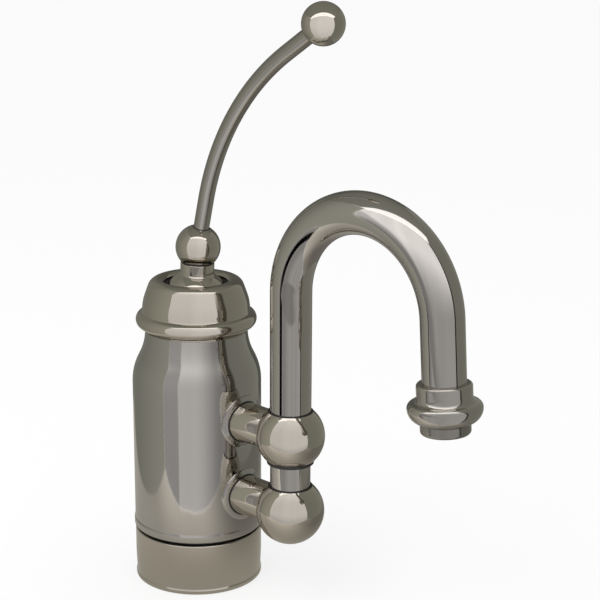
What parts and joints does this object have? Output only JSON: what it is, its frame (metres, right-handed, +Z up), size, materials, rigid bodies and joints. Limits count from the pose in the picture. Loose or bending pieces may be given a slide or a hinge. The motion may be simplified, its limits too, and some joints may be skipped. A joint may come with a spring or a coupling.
{
  "type": "gooseneck bar faucet",
  "caption": "Single-lever bar faucet with a bottle-shaped body, ball-ended side arms, a swivelling gooseneck spout and a curved lever with a ball knob.",
  "frame": {"origin": "centre of the underside of the foot, on the deck and on the body's axis", "axes": "+Z up along the body; -Y to the front, where the arms and the spout at rest point; +X to the right of someone facing the tap's front"},
  "size_m": [0.0616, 0.1936, 0.2826],
  "materials": {
    "nickel": "polished warm grey nickel plate",
    "aerator_metal": "polished, slightly darker",
    "brass": "machined",
    "steel": "plain turned",
    "rubber": "black moulded rubber",
    "black_plastic": "black acetal",
    "white_plastic": "moulded",
    "grey_plastic": "moulded",
    "ceramic": "lapped ceramic"
  },
  "bodies": {
    "body": {"base_ring": "nickel", "deck_gasket": "rubber", "seat_ring": "rubber", "body_shell": "nickel", "valve_core": "brass", "bell_cap": "nickel", "cap_seal": "rubber", "cartridge_seals": "rubber", "cartridge_base": "white_plastic", "fixed_disc": "ceramic", "cartridge_housing": "white_plastic", "cartridge_nut": "brass", "upper_arm": "nickel", "lower_arm": "nickel", "upper_arm_washer": "black_plastic", "lower_arm_washer": "black_plastic", "upper_ball": "nickel", "lower_ball": "nickel", "upper_bush_top": "black_plastic", "upper_bush_bottom": "black_plastic", "lower_bush": "black_plastic", "thrust_washer": "black_plastic", "stop_screw": "steel"},
    "spout": {"spout_post": "nickel", "post_seal_upper": "rubber", "post_seal_lower": "rubber", "spout_tube": "nickel", "outlet_collar": "nickel", "aerator_washer": "rubber", "aerator_housing": "aerator_metal", "aerator_insert": "grey_plastic"},
    "turret": {"turret": "grey_plastic", "pivot_pin": "steel"},
    "slider": {"disc_carrier": "white_plastic", "moving_disc": "ceramic"},
    "handle": {"lever_stem": "brass", "handle_dome": "nickel", "handle_screw": "steel", "ball_washer": "rubber", "handle_ball": "nickel", "handle_rod": "nickel", "handle_knob": "nickel"}
  },
  "joints": [
    {"name": "spout_swivel", "type": "hinge", "parent": "body", "child": "spout", "pos_m": [0, -0.0601, 0.0846], "axis": [0, 0, 1], "range_deg": [-110, 110]},
    {"name": "handle_turn", "type": "hinge", "parent": "body", "child": "turret", "pos_m": [0, 0, 0.138], "axis": [0, 0, 1], "range_deg": [-45, 45]},
    {"name": "handle_tilt", "type": "hinge", "parent": "turret", "child": "handle", "pos_m": [0, 0, 0.138], "axis": [-1, 0, 0], "range_deg": [0, 20]},
    {"name": "disc_slide", "type": "slide", "parent": "turret", "child": "slider", "axis": [0, -1, 0], "range_m": [0, 0.0044]}
  ],
  "couplings": [
    {"joint": "disc_slide", "follows": "handle_tilt", "m_per_rad": 0.012362}
  ]
}
